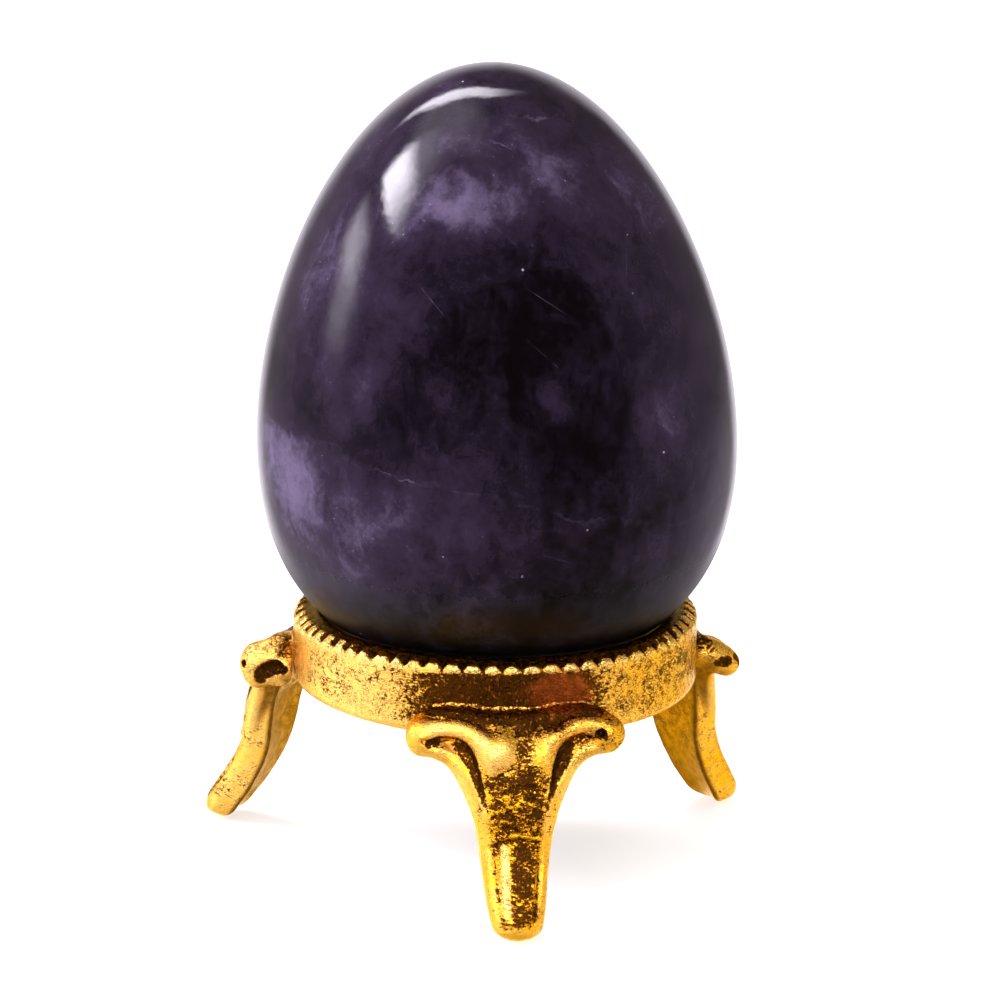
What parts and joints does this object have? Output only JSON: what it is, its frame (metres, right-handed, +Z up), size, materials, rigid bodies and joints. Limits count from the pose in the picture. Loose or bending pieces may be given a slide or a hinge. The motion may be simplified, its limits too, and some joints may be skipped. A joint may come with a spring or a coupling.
{
  "type": "decorative egg on stand",
  "caption": "Polished dark purple stone egg resting in a gilt ring stand with a notched rim and scrolled, turned-out legs.",
  "frame": {"origin": "on the ring's axis, at the table plane that the three foot pads stand on", "axes": "+Z up along the ring's axis; -Y out along the front leg; +X to the right seen from the front"},
  "size_m": [0.0442, 0.0441, 0.066],
  "materials": {
    "amethyst": "polished",
    "gilt_metal": "cast, gilt, worn",
    "braze_metal": "as brazed"
  },
  "bodies": {
    "stand": {"ring_band": "gilt_metal", "front_leg": "gilt_metal", "left_leg": "gilt_metal", "right_leg": "gilt_metal", "front_leg_braze": "braze_metal", "left_leg_braze": "braze_metal", "right_leg_braze": "braze_metal"},
    "egg": {"stone_egg": "amethyst"}
  },
  "joints": [
    {"name": "egg_lift", "type": "slide", "parent": "stand", "child": "egg", "axis": [0, 0, 1], "range_m": [0, 0.03]}
  ]
}
